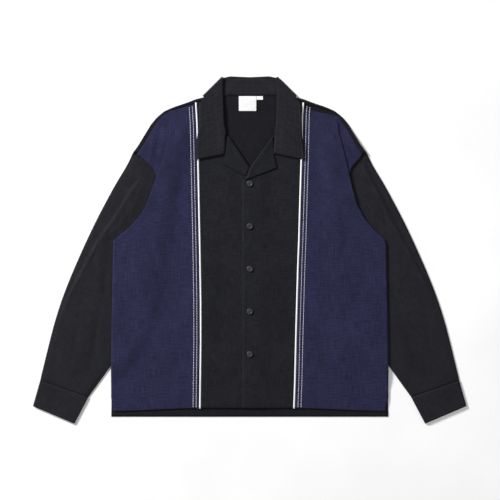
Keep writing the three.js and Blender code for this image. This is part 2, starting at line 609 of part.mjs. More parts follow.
add('back', makeBack(), BLACK_CLOTH);
add('collar', makeCollar(), BLACK_CLOTH);
for (const side of SIDES) {
  add(`front_side_${side.name}`, makeFrontSide(side), NAVY_CLOTH);
  add(`front_centre_${side.name}`, makeFrontCentre(side), BLACK_CLOTH);
  add(`piping_${side.name}`, makePiping(side), WHITE_CLOTH);
  add(`lapel_${side.name}`, makeLapel(side), BLACK_CLOTH);
  add(`sleeve_${side.name}`, makeSleeve(side), BLACK_CLOTH);
  add(`cuff_${side.name}`, makeCuff(side), BLACK_CLOTH);
}
for (let i = 0; i < BUTTON_COUNT; i++) {
  const y = BUTTON_TOP_Y - i * BUTTON_PITCH;
  const z = centreHeight(LEFT, 0, y) + CLOTH / 2 + GAP + BUTTON_THICK / 2;
  add(`button_${i + 1}`, makeButton(), BUTTON_GREY, z).position.y = y;
}
add('neck_label', makeLabel(-24, 14.4, 305.6), WHITE_CLOTH);
add('size_tab', makeLabel(14.8, 28.9, 330), WHITE_CLOTH);

export default group;
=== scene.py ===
"""A piped shirt jacket with a camp collar, lying flat on its back on a pale floor.

Sizes in the tables are millimetres in the model's own frame; meshes are made in metres.
"""
import logging
import math
import random
from dataclasses import dataclass
from enum import Enum
from typing import Callable, Sequence

import bmesh
import bpy
from mathutils import Matrix, Vector


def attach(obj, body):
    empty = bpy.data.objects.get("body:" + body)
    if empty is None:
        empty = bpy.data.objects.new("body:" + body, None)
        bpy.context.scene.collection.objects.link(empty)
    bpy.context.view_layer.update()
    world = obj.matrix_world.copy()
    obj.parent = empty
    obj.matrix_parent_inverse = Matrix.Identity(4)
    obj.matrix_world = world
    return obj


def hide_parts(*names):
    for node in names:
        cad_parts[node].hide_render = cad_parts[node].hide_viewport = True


log = logging.getLogger("shirt_jacket")
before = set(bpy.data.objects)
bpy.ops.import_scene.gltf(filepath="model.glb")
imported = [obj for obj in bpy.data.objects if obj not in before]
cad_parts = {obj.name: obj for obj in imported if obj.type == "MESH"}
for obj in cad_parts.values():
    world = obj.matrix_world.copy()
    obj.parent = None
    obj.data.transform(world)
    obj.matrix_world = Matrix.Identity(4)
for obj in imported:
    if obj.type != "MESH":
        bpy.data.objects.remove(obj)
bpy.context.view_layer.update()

MM = 0.001
CLOTH = 1.0
DOUBLED = 2.0
GAP = 0.3
FLOOR_MID = CLOTH / 2
SLEEVE_LIFT = 3.7
NECK_LIFT = 2.8
LOFT = 2.5
STACK = 2.1
FOLD_RADIUS = 0.66
PLEAT_DEPTH = 16.0
PLEAT_TAIL = 46.0
PLACKET_STEP = 1.4
PLACKET_X = 17.0
SEAM_CUT = 0.3
PIPING_RADIUS = 1.8
PIPING_RISE = 0.6
BACK_HEM_Y = -366.5
FRONT_HEM_Y = -347.6
SIDE_HEM_DROP = 6.4
NECK_SEAM_Y = 338.0
RISE_WIDTH = 42.0
HEM_FOLD = 20.0
SEED = 7
# Stitch spacing, then each stitch's length and width
PALE_PITCH = 3.6
PALE_BEAD = (2.2, 1.9)
DARK_PITCH = 3.0
DARK_BEAD = (2.1, 0.6)
PLACKET_BEAD = (2.2, 0.7)

Table = Sequence[tuple[float, float]]
Point = tuple[float, float, float]

SHOULDER_LINE: Table = ((338.3, 98), (336, 106.4), (324, 137.6), (314, 168.6), (305, 188), (292, 204),
                        (275, 218), (231, 244), (209, 259.5))
SHOULDER_SEAM: Table = ((338.3, 98), (331, 100.5), (323, 117.5), (318, 138), (306.5, 174), (295, 192),
                        (275, 206.5), (258, 218.5), (237, 229.8), (208, 249.5))
SLEEVE_OUTER: Table = ((222, 250), (214, 257), (187, 270), (129, 304), (44, 348), (-64, 396),
                       (-152, 427), (-262, 455), (-286, 460.4))
SLEEVE_INNER: Table = ((17, 289), (-30, 262), (-80, 243), (-125, 239), (-175, 254), (-255, 306),
                       (-323, 354.5))
CUFF_OUTER: Table = ((-286, 460.4), (-342.8, 476.4))
CUFF_INNER: Table = ((-323, 354.5), (-381.5, 385.3))
RISE_LINE: Table = ((300, 150), (228, 165), (163, 178), (100, 190), (0, 205), (-125, 224), (-190, 246),
                    (-255, 292), (-310, 345), (-367, 400))
NECKLINE: Table = ((331, 98.4), (320, 99.3), (300, 98.3), (283, 92.3), (267, 80.3), (257, 63), (251, 52),
                   (248, 48), (215, 25), (181, 0.5), (156, -10), (148, -17), (-355, -17))
TOP_TILT: Table = ((306.5, 16.3), (295, 16), (262, 9), (214, 0))


@dataclass(frozen=True)
class Side:
    """One half of the garment: its outlines as (y, x) rows, x from the centre line."""

    name: str
    sign: int
    upper: bool
    armhole_top: float
    pleat_top: float
    pleat_full: float
    seam_y: float
    edge: Table
    armhole: Table
    piping: Table
    leaf_edge: Table
    roll: Table
    lapel_roll: Table
    lapel_edge: Table
    ridge: Table
    ridge_top: float


LEFT = Side(
    "left", 1, True, 214, 293, 268, 163.5,
    ((294, 192), (259, 195), (228, 203), (187, 213), (163.5, 218), (130, 226), (99, 236), (67, 254),
     (42, 275), (24, 296), (12, 300), (-60, 301), (-145, 303), (-248, 304.6), (-367, 304.6)),
    ((214, 249.4), (202, 241.5), (181.5, 223.4), (163.5, 218)),
    ((323, 117.8), (297, 115.6), (198, 113.4), (110, 110.6), (22, 108.2), (-22, 106.4), (-110, 103.8),
     (-176, 101.9), (-286, 99.4), (-348, 97.2)),
    ((318, 112.5), (298, 113.6), (270, 114.6), (245, 115.6), (220, 119), (206, 121), (198.4, 121.6)),
    ((358, 60.2), (330, 59.4), (300, 58.2), (276, 57.2), (254, 53.8), (232, 52.9), (212, 51.9)),
    ((249, 49.4), (181, 0.8), (155.4, -9.4)),
    ((249, 49.8), (230, 50.6), (214, 51.4), (181, 59), (155, -9)),
    ((197, 247), (153, 270), (104, 296), (57, 319), (23, 337), (-6, 353), (-41, 371.5), (-72, 390),
     (-91, 403), (-116, 415.5)), 205,
)
RIGHT = Side(
    "right", -1, False, 209, 300, 262, 162.5,
    ((305.2, 174), (288, 174.5), (254, 176.6), (218, 184), (187, 194.6), (162.5, 203.6), (135, 213),
     (101, 226), (75, 241), (49, 264.6), (32, 285.5), (20, 300), (-60, 301), (-145, 303), (-248, 304.6),
     (-367, 304.6)),
    ((209, 245.6), (197, 231), (184, 215), (162.5, 203.6)),
    ((323, 118.2), (275, 115.4), (198, 113.6), (0, 109.5), (-110, 107.8), (-200, 107.6), (-348, 109.4)),
    ((318, 112), (298, 111.6), (272, 112), (245, 116), (222, 118.6), (206, 119.6), (198.8, 118.4)),
    ((358, 59.4), (330, 58.2), (300, 56.8), (276, 55.6), (254, 51.4), (232, 53.4), (210, 55.6)),
    ((249, 45.6), (181, 0.4), (163, 7.6)),
    ((249, 49.6), (230, 51.6), (210, 54), (188, 59), (163, 8)),
    ((155, 244), (135, 259.5), (83, 290.5), (54, 311), (19, 336), (-16, 354.5), (-63, 380), (-104, 402),
     (-151, 424)), 165,
)
SIDES = (LEFT, RIGHT)


@dataclass(frozen=True)
class Crease:
    """A soft trough (or, with a negative depth, a ridge) from one point to another."""

    x0: float
    y0: float
    x1: float
    y1: float
    width: float
    depth: float

    def at(self, x: float, y: float) -> float:
        """Height change at a point, fading towards both ends."""
        dx, dy = self.x1 - self.x0, self.y1 - self.y0
        t = ((x - self.x0) * dx + (y - self.y0) * dy) / (dx * dx + dy * dy)
        c = min(max(t, 0.0), 1.0)
        away = math.hypot(x - self.x0 - c * dx, y - self.y0 - c * dy)
        if away > 3 * self.width:
            return 0.0
        return -self.depth * math.exp(-((away / self.width) ** 2)) * math.sin(math.pi * (0.12 + 0.76 * c))


BODY_CREASES = (
    Crease(-238, 62, -196, -60, 11, 1.0), Crease(-276, 8, -246, -96, 9, 0.8),
    Crease(-150, 250, -158, 90, 12, 0.8), Crease(-176, -120, -160, -300, 16, 0.7),
    Crease(-252, -190, -240, -335, 13, 0.7), Crease(-150, 60, -128, -60, 10, -0.5),
    Crease(150, 262, 164, 100, 12, 0.9), Crease(232, 66, 196, -50, 12, 1.0),
    Crease(272, 10, 240, -110, 10, 0.8), Crease(168, -90, 152, -290, 16, 0.7),
    Crease(256, -170, 238, -330, 12, 0.8), Crease(128, 40, 142, -80, 9, -0.5),
    Crease(62, 120, 66, -40, 9, 0.5), Crease(-60, 30, -66, -200, 11, 0.5),
    Crease(50, -150, 58, -320, 12, 0.5), Crease(-224, 66, -184, -56, 9, -0.9),
    Crease(-262, 0, -232, -90, 8, -0.8), Crease(-186, 210, -176, 60, 14, -1.1),
    Crease(244, 70, 210, -40, 9, -0.9), Crease(188, 190, 196, 40, 14, -1.1),
    Crease(-286, -60, -278, -250, 9, -0.9), Crease(284, -80, 276, -260, 9, -0.9),
    Crease(-200, -150, -196, -330, 16, -0.9), Crease(198, -120, 206, -330, 16, -0.9),
)
SLEEVE_CREASES = (
    Crease(-304, 12, -320, -100, 7, 1.2), Crease(-322, -90, -350, -262, 8, 1.1),
    Crease(-372, -120, -392, -250, 9, 0.7), Crease(-330, 40, -352, -60, 6, 0.5),
    Crease(312, -20, 330, -150, 7, 1.0), Crease(338, -140, 366, -280, 9, 0.9),
    Crease(384, -110, 402, -256, 8, 0.7), Crease(286, 96, 306, 30, 6, 0.6),
    Crease(-420, -200, -430, -280, 6, 0.5), Crease(424, -190, 436, -276, 6, 0.5),
)
SHOULDER_CREASES = (Crease(-195, 272, -211, 178, 4.0, 0.9), Crease(206, 262, 232, 196, 4.0, 0.8),
                    Crease(-206, 272, -222, 186, 5.0, -1.2), Crease(216, 262, 242, 200, 5.0, -1.0))


def lerp(a: float, b: float, t: float) -> float:
    """Value a share t of the way from a to b."""
    return a + (b - a) * t


def smooth(t: float) -> float:
    """Smooth step from 0 to 1."""
    c = min(max(t, 0.0), 1.0)
    return c * c * (3 - 2 * c)


def x_at(rows: Table, y: float) -> float:
    """x along a table sorted by falling y, straight between its rows.

    Args:
        rows: (y, x) pairs.
        y: where to read the table.

    Returns:
        The x there.
    """
    if y >= rows[0][0]:
        return rows[0][1]
    for (ya, xa), (yb, xb) in zip(rows, rows[1:]):
        if y >= yb:
            return lerp(xa, xb, (ya - y) / (ya - yb))
    return rows[-1][1]


def back_height(x: float, y: float) -> float:
    """Middle of the back panel above the floor, x from the centre line."""
    over_sleeve = smooth((x - x_at(RISE_LINE, y) + RISE_WIDTH) / RISE_WIDTH) * (1 - smooth((y - 228) / 47))
    over_leaf = smooth((y - 290) / 44) * (1 - smooth((x - 108) / 45))
    return FLOOR_MID + SLEEVE_LIFT * over_sleeve + NECK_LIFT * over_leaf


def relief(side: Side, x: float, y: float) -> float:
    """Creases of the front, and the line where its hem is turned up."""
    total = sum(c.at(side.sign * x, y) for c in BODY_CREASES)
    hem = abs(y - FRONT_HEM_Y - HEM_FOLD)
    return total - 0.35 * math.exp(-((hem / 2.0) ** 2))


def pleat_turn(side: Side, y: float) -> float:
    """How far the cloth has turned over at the pleat, 0 to a half turn."""
    return math.pi * min(max((side.pleat_top - y) / (side.pleat_top - side.pleat_full), 0.0), 1.0)


def pleat_depth(side: Side, y: float) -> float:
    """How deep the pleat's hidden fold is."""
    return PLEAT_DEPTH * smooth((side.pleat_full - y) / 60)


def front_height(side: Side, x: float, y: float) -> float:
    """Middle of the front side panel's body above the floor."""
    drop = 2 * FOLD_RADIUS * (1 - math.cos(pleat_turn(side, y)))
    loft = STACK + drop * smooth((y - side.seam_y + PLEAT_TAIL + 30) / 30)
    near = 1 - smooth((x_at(side.edge, y) - x - PLEAT_DEPTH - 6) / 44)
    return back_height(x, y) + lerp(LOFT, loft, near) + relief(side, x, y) * (1 - 0.85 * near)


def centre_height(side: Side, x: float, y: float) -> float:
    """Middle of a front centre panel above the floor."""
    step = PLACKET_STEP * (1 - smooth((x - 22) / 30)) if side.upper else 0.0
    return back_height(abs(x), y) + LOFT + step + relief(side, x, y)


def surface_height(side: Side, x: float, y: float) -> float:
    """Middle of whichever front panel shows at a point."""
    return front_height(side, x, y) if x > x_at(side.piping, y) else centre_height(side, x, y)


# ---------------------------------------------------------------- finishes
class Num:
    """A shader value whose operators add Math nodes."""

    def __init__(self, graph: "Graph", socket: bpy.types.NodeSocket) -> None:
        """Wrap a socket of a graph."""
        self.graph, self.socket = graph, socket

    def _math(self, operation: str, *values: object) -> "Num":
        """Add one Math node."""
        return self.graph.num("ShaderNodeMath", {"operation": operation}, dict(enumerate(values)))

    def __add__(self, other: object) -> "Num":
        """Sum."""
        return self._math("ADD", self, other)

    __radd__ = __add__

    def __sub__(self, other: object) -> "Num":
        """Difference."""
        return self._math("SUBTRACT", self, other)

    def __rsub__(self, other: object) -> "Num":
        """Reflected difference."""
        return self._math("SUBTRACT", other, self)

    def __mul__(self, other: object) -> "Num":
        """Product."""
        return self._math("MULTIPLY", self, other)

    __rmul__ = __mul__

    def sine(self) -> "Num":
        """Sine."""
        return self._math("SINE", self)


class Graph:
    """The node tree of one material."""

    def __init__(self, name: str) -> None:
        """Start a material with a Principled shader."""
        self.material = bpy.data.materials.new(name)
        self.material.use_nodes = True
        self.tree = self.material.node_tree
        self.shader = self.tree.nodes["Principled BSDF"]

    def node(self, kind: str, settings: dict, sockets: dict) -> bpy.types.Node:
        """Add a node.

        Args:
            kind: the node's type.
            settings: its properties, set first.
            sockets: values or links by input name or index.

        Returns:
            The node.
        """
        node = self.tree.nodes.new(kind)
        for key, value in settings.items():
            setattr(node, key, value)
        for key, value in sockets.items():
            self.feed(node.inputs[key], value)
        return node

    def feed(self, socket: bpy.types.NodeSocket, value: object) -> None:
        """Link or set one input."""
        if isinstance(value, Num):
            self.tree.links.new(value.socket, socket)
        elif isinstance(value, bpy.types.NodeSocket):
            self.tree.links.new(value, socket)
        else:
            socket.default_value = value

    def num(self, kind: str, settings: dict, sockets: dict, output: int | str = 0) -> Num:
        """Add a node and wrap one output."""
        return Num(self, self.node(kind, settings, sockets).outputs[output])

    def uv(self, scale: tuple[float, float]) -> bpy.types.NodeSocket:
        """The piece's own cloth coordinates, in metres, scaled."""
        source = self.node("ShaderNodeTexCoord", {}, {}).outputs["UV"]
        mapping = self.node("ShaderNodeMapping", {}, {"Vector": source, "Scale": (*scale, 1.0)})
        return mapping.outputs["Vector"]

    def noise(self, scale: tuple[float, float], detail: float = 2.0) -> Num:
        """Stretched noise about 0.5."""
        sockets = {"Vector": self.uv(scale), "Scale": 1.0, "Detail": detail}
        return self.num("ShaderNodeTexNoise", {}, sockets, "Fac")

    def wave(self, axis: int, per_metre: float, wobble: Num) -> Num:
        """Threads along one way of the cloth, slightly uneven."""
        parts = self.node("ShaderNodeSeparateXYZ", {}, {0: self.uv((1.0, 1.0))})
        return (Num(self, parts.outputs[axis]) * (2 * math.pi * per_metre) + wobble * 2.5).sine()

    def finish(self, dark: Sequence[float], light: Sequence[float], mask: Num, height: Num, depth: float,
               roughness: float, specular: float, sheen: float) -> bpy.types.Material:
        """Feed colour and bump, and set the plain sockets.

        Args:
            dark: linear colour where mask is 0.
            light: linear colour where mask is 1.
            mask: colour mask.
            height: bump height.
            depth: bump distance in metres.
            roughness: base roughness.
            specular: specular level.
            sheen: sheen weight.

        Returns:
            The material.
        """
        mix = self.node("ShaderNodeMix", {"data_type": "RGBA", "clamp_factor": True},
                        {0: mask, 6: (*dark, 1.0), 7: (*light, 1.0)})
        self.feed(self.shader.inputs["Base Color"], mix.outputs[2])
        bump = self.node("ShaderNodeBump", {}, {"Strength": 0.7, "Distance": depth, "Height": height})
        self.feed(self.shader.inputs["Normal"], bump.outputs["Normal"])
        self.shader.inputs["Roughness"].default_value = roughness
        self.shader.inputs["Specular IOR Level"].default_value = specular
        self.shader.inputs["Sheen Weight"].default_value = sheen
        self.shader.inputs["Sheen Roughness"].default_value = 0.5
        return self.material


@dataclass(frozen=True)
class ClothFinish:
    """A matte plain weave with slubs."""

    name: str
    colour: tuple[float, float, float]
    contrast: float = 0.36
    threads_per_metre: float = 1150.0
    sheen: float = 0.02

    def build(self) -> bpy.types.Material:
        """Make the material."""
        g = Graph(self.name)
        slub = g.noise((45.0, 520.0)) * 0.5 + g.noise((560.0, 40.0)) * 0.5
        cloud = g.noise((16.0, 16.0), 4.0)
        weave = g.wave(0, self.threads_per_metre, slub) * g.wave(1, self.threads_per_metre, slub)
        mask = slub * 3.4 + cloud * 1.1 + weave * 0.12 - 1.75
        dark = [c * (1 - self.contrast) for c in self.colour]
        light = [c * (1 + self.contrast) for c in self.colour]
        return g.finish(dark, light, mask, weave * 0.5 + slub * 1.6, 0.00035, 0.93, 0.12, self.sheen)


@dataclass(frozen=True)
class SmoothFinish:
    """Thread, horn-like plastic or bare floor: one colour with a fine mottle."""

    name: str
    colour: tuple[float, float, float]
    roughness: float
    specular: float
    grain: float = 700.0

    def build(self) -> bpy.types.Material:
        """Make the material."""
        g = Graph(self.name)
        place = g.node("ShaderNodeTexCoord", {}, {}).outputs["Object"]
        sockets = {"Vector": place, "Scale": self.grain, "Detail": 3.0}
        mottle = g.num("ShaderNodeTexNoise", {}, sockets, "Fac")
        dark = [c * 0.86 for c in self.colour]
        light = [min(c * 1.1, 1.0) for c in self.colour]
        return g.finish(dark, light, mottle, mottle, 0.0001, self.roughness, self.specular, 0.0)


class Finish(Enum):
    """The finishes of this garment."""

    BLACK = ClothFinish("black plain weave", (0.0118, 0.0122, 0.0157))
    # Painted light: the same black cloth lightened for the collar, sleeves and cuffs, standing in for how
    # the light falls on them
    FADED = ClothFinish("black plain weave, face lit", (0.0141, 0.0144, 0.0182), 0.30)
    # Painted shade: the same black cloth darkened to stand in for the shadow the collar and fronts cast on
    # the back
    INSIDE = ClothFinish("black plain weave, wrong side", (0.0092, 0.0093, 0.0122))
    NAVY = ClothFinish("navy plain weave", (0.0200, 0.0194, 0.0535))
    WHITE = ClothFinish("white trim weave", (0.90, 0.90, 0.90), 0.06, 1500.0)
    PALE_THREAD = SmoothFinish("pale stitching", (0.80, 0.79, 0.86), 0.8, 0.2)
    DARK_THREAD = SmoothFinish("dark stitching", (0.040, 0.041, 0.049), 0.75, 0.25)
    BUTTON = SmoothFinish("dark button", (0.026, 0.027, 0.031), 0.38, 0.5, 260.0)
    # Painted shade: near-black beads that stand in for the shade inside each button hole
    HOLE = SmoothFinish("button hole shade", (0.004, 0.004, 0.005), 0.9, 0.1)


MATERIALS: dict[Finish, bpy.types.Material] = {f: f.value.build() for f in Finish}


# ---------------------------------------------------------------- mesh helpers
class Piece:
    """A bmesh that becomes one finished object."""

    def __init__(self, name: str, finish: Finish) -> None:
        """Start an empty piece."""
        self.name, self.finish = name, finish
        self.bm = bmesh.new()
        self.uv = self.bm.loops.layers.uv.new("weave")

    def patch(self, across: int, along: int, place: Callable[[float, float], Point],
              flat: tuple[float, float], flip: bool) -> None:
        """Lay a grid on a surface.

        Args:
            across: divisions of the first parameter.
            along: divisions of the second parameter.
            place: surface point in millimetres for parameters from 0 to 1.
            flat: size of the cloth in metres, for its weave coordinates.
            flip: whether to turn the faces over.
        """
        made = bmesh.ops.create_grid(self.bm, x_segments=across, y_segments=along, size=0.5)["verts"]
        share = {v: (v.co.x + 0.5, v.co.y + 0.5) for v in made}
        faces = {f for v in made for f in v.link_faces}
        for face in faces:
            face.smooth = True
            for loop in face.loops:
                s, t = share[loop.vert]
                loop[self.uv].uv = (s * flat[0], t * flat[1])
        for v, (s, t) in share.items():
            v.co = Vector(place(s, t)) * MM
        if flip:
            bmesh.ops.reverse_faces(self.bm, faces=list(faces))

    def capsule(self, at: Vector, along: Vector, length: float, width: float) -> None:
        """Add one stitch: a low rounded bead along a direction, in millimetres."""
        turn = Matrix.Rotation(math.atan2(along.y, along.x), 4, "Z")
        size = Matrix.Diagonal((length / 2, width / 2, width * 0.36, 1.0))
        bmesh.ops.create_icosphere(
            self.bm, subdivisions=1, radius=1.0,
            matrix=Matrix.Scale(MM, 4) @ Matrix.Translation(at) @ turn @ size)

    def done(self, nodes: Sequence[str], wall: float = 0.0, weld: float = 1e-5) -> bpy.types.Object:
        """Finish the piece as an object that rides on the root.

        Args:
            nodes: the model's nodes that it stands for.
            wall: cloth thickness in millimetres, or 0 for a solid mesh.
            weld: merge distance in metres, or 0 to leave the points.

        Returns:
            The object.
        """
        if weld:
            bmesh.ops.remove_doubles(self.bm, verts=self.bm.verts[:], dist=weld)
            bmesh.ops.dissolve_degenerate(self.bm, dist=1e-7, edges=self.bm.edges[:])
        mesh = bpy.data.meshes.new(self.name)
        self.bm.to_mesh(mesh)
        self.bm.free()
        mesh.materials.append(MATERIALS[self.finish])
        obj = bpy.data.objects.new(self.name, mesh)
        bpy.context.scene.collection.objects.link(obj)
        if wall:
            shell = obj.modifiers.new("cloth wall", "SOLIDIFY")
            shell.thickness, shell.offset = wall * MM, 0.0
        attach(obj, "root")
        if nodes:
            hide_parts(*nodes)
        log.info("%s: %d faces", self.name, len(mesh.polygons))
        return obj


def spread(values: Sequence[float], step: float) -> list[float]:
    """Falling row heights with extra rows between the given ones."""
    rows: list[float] = []
    for a, b in zip(values, values[1:]):
        count = max(1, round((a - b) / step))
        rows += [lerp(a, b, i / count) for i in range(count)]
    return rows + [values[-1]]


def stitch_row(name: str, finish: Finish, path: Callable[[float], Point], length: float, pitch: float,
               bead: tuple[float, float]) -> bpy.types.Object:
    """Sew a row of stitches along a path.

    Args:
        name: the piece's name.
        finish: thread finish.
        path: point in millimetres for a share from 0 to 1.
        length: the row's length in millimetres.
        pitch: stitch spacing in millimetres.
        bead: stitch length and width in millimetres.

    Returns:
        The joined stitches.
    """
    rng = random.Random(f"{SEED}{name}")
    piece = Piece(name, finish)
    count = int(length / pitch)
    for i in range(count):
        a, b = Vector(path(i / count)), Vector(path((i + 0.6) / count))
        along = b - a
        if along.length < 1e-6:
            continue
        size = rng.uniform(0.9, 1.1)
        piece.capsule((a + b) / 2, along, bead[0] * size, bead[1])
    return piece.done((), weld=0.0)


# ---------------------------------------------------------------- sub-assemblies
@dataclass
class Back:
    """The back panel with its forward shoulders, label and size tab."""

    flat: tuple[float, float] = (0.62, 0.72)
    area: float = 0.38
    label: tuple[float, float, float] = (-24.0, 14.4, 305.6)
    tab: tuple[float, float, float] = (14.8, 28.9, 330.0)

    def outer(self, side: Side, y: float) -> float:
        """Side edge of the back at a height."""
        if y > 212:
            return self.fold(side, y)[2]
        x = x_at(side.armhole, y) if y > side.seam_y else x_at(side.edge, y)
        return x - (0.4 if y > -354 else 0.0)

    def fold(self, side: Side, y: float) -> tuple[float, float, float]:
        """Half height, reach and start of the shoulder fold."""
        seam, line = x_at(SHOULDER_SEAM, y), x_at(SHOULDER_LINE, y)
        rise = lerp(LOFT, STACK, smooth((seam - 120) / 56)) / 2
        slope = math.hypot(1, (x_at(SHOULDER_LINE, y - 3) - x_at(SHOULDER_LINE, y + 3)) / 6)
        reach = min(rise * slope, max(line - seam - GAP, 0.0) * 0.4)
        return rise, reach, max(line - 0.6 * slope - reach, seam + SEAM_CUT) if y < 336 else seam

    def build(self) -> None:
        """Make the back, its label and its tab."""
        # The back panel takes the darkened black cloth, painted shade for the shadow under the collar and
        # fronts
        piece = Piece("back_cloth", Finish.INSIDE)
        rows = spread((337.3, 336, 305, 231, 212.6, 211, 187, 14, BACK_HEM_Y), 5.0)
        for side in SIDES:
            def body(s: float, t: float, side: Side = side) -> Point:
                """Point on the body of the panel."""
                y = rows[round(t * (len(rows) - 1))]
                x = self.outer(side, y) * s
                return side.sign * x, y, back_height(x, y)

            shoulder = [y for y in rows if y > 212]

            def strip(s: float, t: float, side: Side = side) -> Point:
                """Point on the forward shoulder."""
                y = shoulder[round(t * (len(shoulder) - 1))]
                rise, reach, start = self.fold(side, y)
                base = back_height(start, y)
                if y >= 336:
                    return side.sign * start, y, base
                if s <= 0.6:
                    a = math.pi * s / 0.6
                    return side.sign * (start + reach * math.sin(a)), y, base + rise * (1 - math.cos(a))
                x = lerp(start, x_at(SHOULDER_SEAM, y) + SEAM_CUT, (s - 0.6) / 0.4)
                return side.sign * x, y, base + 2 * rise
            piece.patch(56, len(rows) - 1, body, (0.305, 0.70), side.sign > 0)
            piece.patch(16, len(shoulder) - 1, strip, (0.03, 0.12), side.sign > 0)
        back = piece.done(("back",), CLOTH)
        self.tape("neck_label_tape", "neck_label", self.label, back)
        self.tape("size_tab_tape", "size_tab", self.tab, back)

    def tape(self, name: str, node: str, box: tuple[float, float, float], back: bpy.types.Object) -> None:
        """Make a bare woven label with a soft turned edge."""
        x0, x1, y0 = box
        top = NECK_SEAM_Y - 0.2

        def place(s: float, t: float) -> Point:
            """Surface point for a share across and a share along."""
            x, y = lerp(x0, x1, s), lerp(top, y0, t)
            border = min(x - x0, x1 - x, y - y0) / 2.0
            return x, y, back_height(abs(x), y) + CLOTH + GAP - 0.25 * math.exp(-((border - 1.0) ** 2) * 6)
        piece = Piece(name, Finish.WHITE)
        piece.patch(48, 40, place, ((x1 - x0) * MM, (top - y0) * MM), True)
        tape = piece.done((node,), 0.8)


@dataclass
class FrontSide:
    """A navy side panel with its shoulder pleat and two rows of pale stitching."""

    side: Side
    flat: tuple[float, float] = (0.225, 0.685)
    area: float = 0.112
    stitch_rows: tuple[float, float] = (8.5, 15.2)

    def body(self, s: float, y: float) -> Point:
        """Body surface at a share across and a row height."""
        side = self.side
        crease = y > side.seam_y - PLEAT_TAIL
        turn = min(pleat_turn(side, y), math.pi / 2)
        inset = FOLD_RADIUS * math.sin(turn) if crease else 0.0
        vent = 5.5 * smooth((-320 - y) / 27) if y < -320 else 0.0
        outer = x_at(side.edge, y) - inset - vent
        tilted = y + x_at(TOP_TILT, y) * (1 - s)
        drop = SIDE_HEM_DROP * smooth(s) * smooth((-300 - y) / 47)
        x = lerp(x_at(side.piping, tilted) + PIPING_RADIUS - 0.2, outer, s)
        z = front_height(side, x, y if s == 1 else tilted)
        return side.sign * x, tilted - drop, z

    def pleat(self, s: float, y: float) -> Point:
        """Pleat and dropped shoulder at a share along the cloth."""
        side, r = self.side, FOLD_RADIUS
        turn, depth = pleat_turn(side, y), pleat_depth(side, y)
        x0 = x_at(side.edge, y) - r * math.sin(min(turn, math.pi / 2))
        arc = r * turn
        folded = 2 * arc + depth
        seam = x_at(SHOULDER_SEAM, y)
        if y < side.armhole_top:
            seam = min(seam, x_at(side.armhole, y))
        below = (side.seam_y - y) / PLEAT_TAIL
        total = folded + max((x0 if below > 0 else seam - SEAM_CUT) - x0 + depth, 0.0)
        marks = ((0.0, 0.0), (0.25, arc), (0.32, arc + depth), (0.55, folded), (1.0, total))
        q = total
        for (sa, qa), (sb, qb) in zip(marks, marks[1:]):
            if sa <= s <= sb:
                q = lerp(qa, qb, (s - sa) / (sb - sa))
                break
        q = min(q, total * (1 - min(max(below, 0.0), 1.0)))
        dx, dz = self.bend(turn, depth, q)
        x = x0 + dx + max(q - folded, 0.0)
        z = front_height(side, x0, y) + dz
        if q > folded:
            z += max(back_height(max(x, x0), y) - back_height(x0, y), 0.0)
            z += sum(c.at(side.sign * x, y) for c in SHOULDER_CREASES)
        return side.sign * x, y, z

    @staticmethod
    def bend(turn: float, depth: float, q: float) -> tuple[float, float]:
        """Position in the fold at a length past its start."""
        r, arc = FOLD_RADIUS, FOLD_RADIUS * turn
        if q <= arc:
            return r * math.sin(q / r), -r * (1 - math.cos(q / r))
        run = min(q - arc, depth)
        x = r * math.sin(turn) + run * math.cos(turn)
        z = -r * (1 - math.cos(turn)) - run * math.sin(turn)
        heading = turn - min(max(q - arc - depth, 0.0), arc) / r
        return x + r * (math.sin(turn) - math.sin(heading)), z - r * (math.cos(heading) - math.cos(turn))

    def build(self) -> None:
        """Make the panel and its stitching."""
        side = self.side
        last = side.seam_y - PLEAT_TAIL
        upper = spread((side.edge[0][0], side.armhole_top, side.seam_y, last), 2.0)
        rows = upper + spread((last, 20, FRONT_HEM_Y + 2, FRONT_HEM_Y), 5.0)[1:]
        piece = Piece(f"front_side_{side.name}_cloth", Finish.NAVY)
        piece.patch(44, len(rows) - 1, lambda s, t: self.body(s, rows[round(t * (len(rows) - 1))]),
                    (0.19, 0.67), side.sign > 0)
        piece.patch(40, len(upper) - 1, lambda s, t: self.pleat(s, upper[round(t * (len(upper) - 1))]),
                    (0.09, 0.19), side.sign > 0)
        cloth = piece.done((f"front_side_{side.name}",), CLOTH)
        for i, offset in enumerate(self.stitch_rows):
            def path(t: float, offset: float = offset) -> Point:
                """Point along the row of stitches."""
                y = lerp(318 - offset * 0.3, FRONT_HEM_Y + 1, t)
                x = x_at(side.piping, y) + offset
                return side.sign * x, y, front_height(side, x, y) + CLOTH / 2 + 0.1
            name = f"front_stitch_{side.name}_{i + 1}"
            stitch_row(name, Finish.PALE_THREAD, path, 665, PALE_PITCH, PALE_BEAD)


